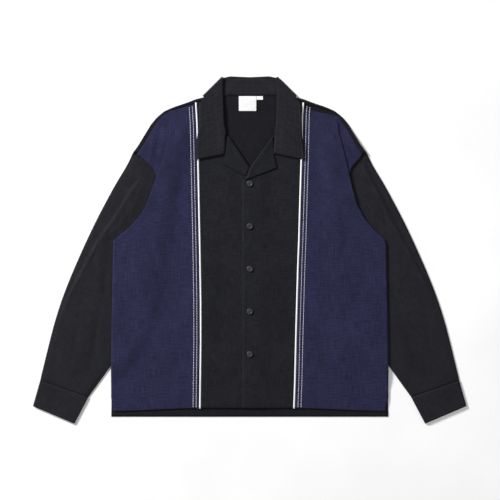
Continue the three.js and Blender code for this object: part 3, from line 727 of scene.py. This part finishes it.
@dataclass
class FrontCentre:
    """A black centre panel, its piping and its lapel."""

    side: Side
    flat: tuple[float, float] = (0.136, 0.676)
    area: float = 0.072

    def inner(self, y: float) -> float:
        """Inner edge of the panel."""
        return x_at(NECKLINE, y)

    def build(self) -> None:
        """Make the panel, cord, lapel and edge stitching."""
        side = self.side
        rows = spread((324.5, 256, 247, 181, 156, 147, FRONT_HEM_Y), 4.0)

        def place(s: float, t: float) -> Point:
            """Surface point for a share across and a share along."""
            y = rows[round(t * (len(rows) - 1))]
            x = lerp(self.inner(y), x_at(side.piping, y) - PIPING_RADIUS + 0.2, s)
            return side.sign * x, y, centre_height(side, x, y)
        piece = Piece(f"front_centre_{side.name}_cloth", Finish.BLACK)
        piece.patch(40, len(rows) - 1, place, (0.13, 0.67), side.sign > 0)
        cloth = piece.done((f"front_centre_{side.name}",), CLOTH)
        if side.upper:
            stitch_row("placket_stitch", Finish.DARK_THREAD, lambda t: self.edge_point(4.0, t),
                                    480, DARK_PITCH, PLACKET_BEAD)
        self.piping()
        self.lapel()

    def edge_point(self, inset: float, t: float) -> Point:
        """A point inside the placket's edge."""
        y = lerp(146, FRONT_HEM_Y + 1, t)
        x = -PLACKET_X + inset
        return x, y, centre_height(self.side, x, y) + CLOTH / 2 + 0.05

    def piping(self) -> None:
        """Make the white cord in the seam."""
        side = self.side

        def place(s: float, t: float) -> Point:
            """Surface point for a share across and a share along."""
            y = lerp(323.5, FRONT_HEM_Y - 0.5, t)
            x, a = x_at(side.piping, y), 2 * math.pi * s
            z = surface_height(side, x, y) + PIPING_RISE
            return side.sign * (x + PIPING_RADIUS * math.cos(a)), y, z + PIPING_RADIUS * math.sin(a)
        piece = Piece(f"piping_{side.name}_cord", Finish.WHITE)
        piece.patch(16, 150, place, (0.0113, 0.67), side.sign < 0)
        bmesh.ops.remove_doubles(piece.bm, verts=piece.bm.verts[:], dist=1e-5)
        bmesh.ops.holes_fill(piece.bm, edges=[e for e in piece.bm.edges if e.is_boundary], sides=20)
        piece.done((f"piping_{side.name}",))

    def lapel(self) -> None:
        """Make the lapel with a rounded roll."""
        side = self.side
        low = side.lapel_roll[-1][0]
        rows = spread((249, side.lapel_edge[2][0], side.lapel_edge[3][0], low), 2.0)
        lift = CLOTH / 2 + 0.5 + DOUBLED / 2

        def place(s: float, t: float) -> Point:
            """Surface point for a share across and a share along."""
            y = rows[round(t * (len(rows) - 1))]
            inner = x_at(side.lapel_roll, y)
            x = lerp(inner, max(x_at(side.lapel_edge, y), inner + 0.4), s)
            roll = math.exp(-(((x - inner - 5) / 5) ** 2))
            puff = 0.9 * roll - 0.9 * math.exp(-(((x - inner) / 1.5) ** 2))
            return side.sign * x, y, centre_height(side, x, y) + lift + puff
        piece = Piece(f"lapel_{side.name}_cloth", Finish.BLACK)
        piece.patch(30, len(rows) - 1, place, (0.06, 0.094), side.sign > 0)
        made = piece.done((f"lapel_{side.name}",), DOUBLED)


# Rows down the front of the collar: stand foot x, y, z, then roll z, layer spacing and leaf z
FRONT_COLLAR = ((98.6, 322, 5.1, 5.6, 2.5, 8.0), (98.2, 303, 4.1, 5.2, 2.6, 7.6),
                (92.4, 284.6, 3.5, 4.2, 3.2, 7.2),
                (81, 269.5, 3.3, 3.6, 3.2, 6.9), (63, 258.6, 3.2, 3.2, 2.8, 6.9))
GORGE = ((5.9, 6.9), (5.6, 6.9))


@dataclass
class Collar:
    """Stand and leaf folded at the roll and at each shoulder."""

    flat: tuple[float, float] = (0.52, 0.105)
    area: float = 0.0395
    top_y: float = 381.5
    stand_z: float = 3.3

    def section(self, foot: Vector, roll: Vector, edge: Vector, across: Vector, layer: float
                ) -> tuple[list[Vector], list[Vector]]:
        """Points of the stand with its roll, then of the leaf."""
        along = Vector((roll.x - foot.x, roll.y - foot.y, 0)).normalized()
        radius = layer / 2
        top = roll - along * (radius + DOUBLED / 2)
        leaf_top = top + across * layer
        centre = (top + leaf_top) / 2
        turns = [math.pi * i / 10 for i in range(11)]
        arc = [centre - across * radius * math.cos(a) + along * radius * math.sin(a) for a in turns]
        stand = [foot.lerp(top, i / 6) for i in range(6)] + arc
        return stand, [leaf_top.lerp(edge, i / 14) for i in range(15)]

    def sections(self, side: Side) -> tuple[list[list[Vector]], list[list[Vector]]]:
        """All sections of one half, from the centre back to the leaf's point."""
        made = []
        layer = DOUBLED + GAP
        for x in (0.0, 22.0, 42.0):
            foot = Vector((x / 42 * 80.0, NECK_SEAM_Y, self.stand_z))
            roll = Vector((x, self.top_y - 1.6 * (1 - x / 42), self.stand_z))
            made.append(self.section(foot, roll, Vector((foot.x, 334.5, 1.0)), Vector((0, 0, -1)), layer))
        corner, end = Vector((61, 381.2, 0)), Vector((103.6, 338.9, 0))
        along = (corner - end).normalized()
        out = Vector((along.y, -along.x, 0))
        wrap = layer / 2
        shift = out * (-3 * wrap - DOUBLED / 2) + Vector((0, 0, self.stand_z + wrap))
        for degrees in range(-90, 91, 10):
            a = math.radians(degrees)
            across = out * math.cos(a) + Vector((0, 0, math.sin(a)))
            foot, roll = end + shift + across * wrap, corner + shift + across * wrap
            made.append(self.section(foot, roll, end + shift + across * 3 * wrap, across, layer))
        for i, (fx, fy, fz, rz, gap, lz) in enumerate(FRONT_COLLAR):
            foot = Vector((fx, fy, fz))
            roll = Vector((side.roll[i][1], side.roll[i][0], rz))
            edge = Vector((side.leaf_edge[i][1], side.leaf_edge[i][0], lz))
            made.append(self.section(foot, roll, edge, Vector((0, 0, 1)), gap))
        leaves = [leaf for _, leaf in made]
        for i, (rz, lz) in enumerate(GORGE):
            n = len(FRONT_COLLAR) + i
            roll = Vector((side.roll[n][1], side.roll[n][0], rz))
            edge = Vector((side.leaf_edge[n][1], side.leaf_edge[n][0], lz))
            leaves.append([roll.lerp(edge, k / 14) for k in range(15)])
        return [stand for stand, _ in made], leaves

    def build(self) -> None:
        """Make the collar and its edge stitching."""
        # The collar takes the lightened black cloth, painted light
        piece = Piece("collar_cloth", Finish.FADED)
        for side in SIDES:
            stands, leaves = self.sections(side)
            for rows, width in ((stands, 0.045), (leaves, 0.06)):
                fine = [[p.lerp(q, k / 4) for p, q in zip(a, b)] for a, b in zip(rows, rows[1:])
                        for k in range(4)] + [rows[-1]]

                def place(s: float, t: float, fine: list = fine, side: Side = side) -> Point:
                    """Surface point for a share across and a share along."""
                    p = fine[round(t * (len(fine) - 1))][round(s * (len(fine[0]) - 1))]
                    return side.sign * p.x, p.y, p.z
                piece.patch(len(rows[0]) - 1, len(fine) - 1, place, (width, 0.26), side.sign < 0)
            front = leaves[-len(FRONT_COLLAR) - len(GORGE):]

            def path(t: float, front: list = front, side: Side = side) -> Point:
                """Point along the row of stitches."""
                k = t * (len(front) - 1)
                i = min(int(k), len(front) - 2)
                p = (front[i][-1] + (front[i][-2] - front[i][-1]).normalized() * 5).lerp(
                    front[i + 1][-1] + (front[i + 1][-2] - front[i + 1][-1]).normalized() * 5, k - i)
                return side.sign * p.x, p.y, p.z + DOUBLED / 2 + 0.05
            name = f"collar_stitch_{side.name}"
            stitch_row(name, Finish.DARK_THREAD, path, 120, DARK_PITCH, DARK_BEAD)
        collar = piece.done(("collar",), DOUBLED)


@dataclass
class Sleeve:
    """A flattened sleeve with its cuff."""

    side: Side
    flat: tuple[float, float] = (0.46, 0.58)
    area: float = 0.139

    def curve(self, rows: Sequence[Vector]) -> Callable[[float], Vector]:
        """A smooth path through points by share of length."""
        fine: list[Vector] = []
        pts = [rows[0] * 2 - rows[1], *rows, rows[-1] * 2 - rows[-2]]
        for a, b, c, d in zip(pts, pts[1:], pts[2:], pts[3:]):
            for k in range(12):
                t = k / 12
                fine.append(0.5 * ((2 * b) + (c - a) * t + (2 * a - 5 * b + 4 * c - d) * t * t
                                   + (3 * b - a - 3 * c + d) * t ** 3))
        fine.append(rows[-1].copy())
        lengths = [0.0]
        for p, q in zip(fine, fine[1:]):
            lengths.append(lengths[-1] + (q - p).length)

        def at(t: float) -> Vector:
            """Point at a share of the length."""
            want = min(max(t, 0.0), 1.0) * lengths[-1]
            for i in range(1, len(fine)):
                if lengths[i] >= want:
                    span = max(lengths[i] - lengths[i - 1], 1e-9)
                    return fine[i - 1].lerp(fine[i], (want - lengths[i - 1]) / span)
            return fine[-1].copy()
        return at

    def top(self, p: Vector) -> float:
        """Middle height of the sleeve's upper layer."""
        side = self.side
        edge = x_at(side.armhole, p.y) if p.y > side.seam_y else x_at(side.edge, p.y)
        free = smooth((p.x - edge - 5) / 26)
        z = lerp(2.9, 3.7, free) + free * sum(c.at(side.sign * p.x, p.y) for c in SLEEVE_CREASES)
        fade = smooth((side.ridge_top - p.y) / 30) * smooth((p.y - side.ridge[-1][0] + 10) / 60)
        step = math.tanh((x_at(side.ridge, p.y) - p.x) / 1.2)
        crown = math.exp(-((p.x - x_at(side.ridge, p.y) + 4) / 4) ** 2)
        return z + free * fade * (1.25 * step + 0.9 * crown)

    def ring(self, s: float, width: float, plan: Callable[[float], Vector], top: Callable[[Vector], float],
             base: float, wall: float, edge_top: float) -> Point:
        """A point round a flattened tube."""
        radius = (edge_top - base) / 2
        start = (wall / 2 + radius) / width
        bulge = radius / width
        if s < 0.5:
            u = lerp(start, 1 - start, s / 0.5)
            p = plan(u)
            near = smooth((min(u, 1 - u) * width) / 12)
            z = lerp(edge_top, top(p), near)
        elif s < 0.6:
            a = math.pi * (s - 0.5) / 0.1
            p = plan(1 - start + bulge * math.sin(a))
            z = base + radius + radius * math.cos(a)
        elif s < 0.9:
            p = plan(lerp(1 - start, start, (s - 0.6) / 0.3))
            z = base
        else:
            a = math.pi * (s - 0.9) / 0.1
            p = plan(start - bulge * math.sin(a))
            z = base + radius - radius * math.cos(a)
        return self.side.sign * p.x, p.y, z

    def build(self) -> None:
        """Make the sleeve and the cuff."""
        side = self.side
        outer = self.curve([Vector((x, y, 0)) for y, x in SLEEVE_OUTER])
        inner = self.curve([Vector((x, y, 0)) for y, x in SLEEVE_INNER])
        tucked = [Vector((250, 222, 0))]
        for y in (200, 180, 160, 130, 99, 67, 42, 28):
            seam = side.armhole if y > side.seam_y else side.edge
            tucked.append(Vector((x_at(seam, y) - 9, y, 0)))
        armhole = self.curve([*tucked, Vector((289, 17, 0))])

        def plan(t: float, u: float) -> Vector:
            """Plan position within the sleeve's outline."""
            low = outer(1).lerp(inner(1), u)
            corners = outer(0).lerp(inner(0), u).lerp(low, t)
            return outer(t).lerp(inner(t), u) + armhole(u).lerp(low, t) - corners

        def place(s: float, t: float) -> Point:
            """Surface point for a share across and a share along."""
            width = max((outer(t) - inner(t)).length, 60.0)
            return self.ring(s, width, lambda u: plan(t, u), self.top, FLOOR_MID, CLOTH, 2.1)
        # The sleeve takes the lightened black cloth, painted light
        piece = Piece(f"sleeve_{side.name}_cloth", Finish.FADED)
        piece.patch(200, 120, place, (0.36, 0.56), side.sign < 0)
        sleeve = piece.done((f"sleeve_{side.name}",), CLOTH)
        self.cuff()

    def cuff(self) -> None:
        """Make the cuff, slightly fuller than the sleeve's end, and its two stitch lines."""
        side = self.side

        def ends(t: float) -> tuple[Vector, Vector]:
            """Outer and inner ends of the cuff at a share of its length."""
            (ya, xa), (yb, xb) = CUFF_OUTER
            (yc, xc), (yd, xd) = CUFF_INNER
            outer = Vector((lerp(xa, xb, t), lerp(ya, yb, t), 0))
            return outer, Vector((lerp(xc, xd, t), lerp(yc, yd, t), 0))

        def top(p: Vector) -> float:
            """Height of the cuff's upper layer."""
            return 3.7

        def place(s: float, t: float) -> Point:
            """Surface point for a share across and a share along."""
            a, b = ends(lerp(0.006, 1.0, t))
            return self.ring(s, (a - b).length, lambda u: a.lerp(b, u), top, DOUBLED / 2, DOUBLED, 3.4)
        # The cuff takes the lightened black cloth, painted light
        piece = Piece(f"cuff_{side.name}_cloth", Finish.FADED)
        piece.patch(80, 16, place, (0.22, 0.06), side.sign < 0)
        cuff = piece.done((f"cuff_{side.name}",), DOUBLED)
        for i, share in enumerate((0.07, 0.93)):
            def path(t: float, share: float = share) -> Point:
                """Point along the row of stitches."""
                a, b = ends(share)
                p = a.lerp(b, lerp(0.06, 0.94, t))
                return side.sign * p.x, p.y, 3.7 + DOUBLED / 2 + 0.05
            name = f"cuff_stitch_{side.name}_{i + 1}"
            stitch_row(name, Finish.DARK_THREAD, path, 95, DARK_PITCH, DARK_BEAD)


@dataclass
class Buttons:
    """Five dished buttons, each sewn on through four holes."""

    radius: float = 6.5
    thick: float = 2.6
    top_y: float = 146.3
    pitch: float = 93.7
    count: int = 5
    hole_spacing: float = 1.5

    def build(self) -> None:
        """Make each button, its holes and its thread."""
        for i in range(self.count):
            y = self.top_y - i * self.pitch
            z = centre_height(LEFT, 0, y) + CLOTH / 2 + GAP
            name = f"button_{i + 1}"
            self.disc(name, y, z)
            face = z + self.thick - 0.55
            # The holes are near-black beads on the button's face, painted shade in place of cut openings
            holes = Piece(f"{name}_holes", Finish.HOLE)
            thread = Piece(f"{name}_thread", Finish.DARK_THREAD)
            for sx in (-1, 1):
                for sy in (-1, 1):
                    at = Vector((sx * self.hole_spacing, y + sy * self.hole_spacing, face))
                    holes.capsule(at, Vector((1, 0, 0)), 1.5, 1.5)
                at = Vector((sx * self.hole_spacing, y, face + 0.35))
                thread.capsule(at, Vector((0, 1, 0)), 3.6, 0.9)
            holes.done((), weld=0.0)
            thread.done((), weld=0.0)

    def disc(self, name: str, y: float, z: float) -> None:
        """Turn one button from its profile."""
        piece = Piece(f"{name}_disc", Finish.BUTTON)
        r, h = self.radius, self.thick
        profile = ((0, 0), (r - 1.2, 0), (r - 0.3, 0.35), (r, 1.0), (r, h - 0.9), (r - 0.35, h - 0.25),
                   (r - 1, h),
                   (r - 1.7, h - 0.12), (r - 2.4, h - 0.6), (r - 3, h - 0.7), (0, h - 0.7))
        points = [piece.bm.verts.new(Vector((x, y, z + dz)) * MM) for x, dz in profile]
        edges = [piece.bm.edges.new(pair) for pair in zip(points, points[1:])]
        bmesh.ops.spin(piece.bm, geom=points + edges, cent=Vector((0, y, z)) * MM, axis=(0, 0, 1),
                       angle=2 * math.pi, steps=40, use_merge=True)
        bmesh.ops.remove_doubles(piece.bm, verts=piece.bm.verts[:], dist=1e-6)
        bmesh.ops.recalc_face_normals(piece.bm, faces=piece.bm.faces[:])
        for face in piece.bm.faces:
            face.smooth = True
        piece.done((name,), weld=0.0)


@dataclass
class Studio:
    """Pale floor, soft key from the upper left, fill and the overhead camera."""

    frame_width: float = 1.1
    lens: float = 85.0
    sensor: float = 36.0

    def light(self, name: str, at: tuple[float, float, float], size: float, energy: float) -> None:
        """Add an area light aimed at the garment."""
        data = bpy.data.lights.new(name, "AREA")
        data.energy, data.size = energy, size
        lamp = bpy.data.objects.new(name, data)
        lamp.location = at
        lamp.rotation_euler = (-Vector(at)).to_track_quat("-Z", "Y").to_euler()
        bpy.context.scene.collection.objects.link(lamp)

    def build(self) -> None:
        """Set up the floor, lights, world and camera."""
        bm = bmesh.new()
        bmesh.ops.create_grid(bm, x_segments=1, y_segments=1, size=30.0)
        bmesh.ops.translate(bm, verts=bm.verts[:], vec=(0, 0, -0.0002))
        mesh = bpy.data.meshes.new("floor")
        bm.to_mesh(mesh)
        bm.free()
        floor = bpy.data.objects.new("floor", mesh)
        mesh.materials.append(SmoothFinish("pale floor", (0.93, 0.93, 0.93), 0.9, 0.1, 3.0).build())
        bpy.context.scene.collection.objects.link(floor)
        self.light("key", (-3.0, 2.4, 2.0), 0.9, 300)
        self.light("fill", (1.4, -1.4, 2.6), 2.4, 22)
        world = bpy.context.scene.world or bpy.data.worlds.new("studio")
        bpy.context.scene.world = world
        world.use_nodes = True
        world.node_tree.nodes["Background"].inputs[0].default_value = (1, 1, 1, 1)
        world.node_tree.nodes["Background"].inputs[1].default_value = 0.34
        data = bpy.data.cameras.new("overhead")
        data.lens, data.sensor_width = self.lens, self.sensor
        camera = bpy.data.objects.new("overhead", data)
        camera.location = (0.0005, 0.0, self.frame_width * self.lens / self.sensor)
        bpy.context.scene.collection.objects.link(camera)
        bpy.context.scene.camera = camera
        bpy.context.scene.view_settings.view_transform = "Standard"


def main() -> None:
    """Build the garment's sub-assemblies in order."""
    logging.basicConfig(level=logging.INFO)
    Back().build()
    for side in SIDES:
        FrontSide(side).build()
        FrontCentre(side).build()
        Sleeve(side).build()
    Collar().build()
    Buttons().build()
    Studio().build()


if __name__ == "__main__":
    main()
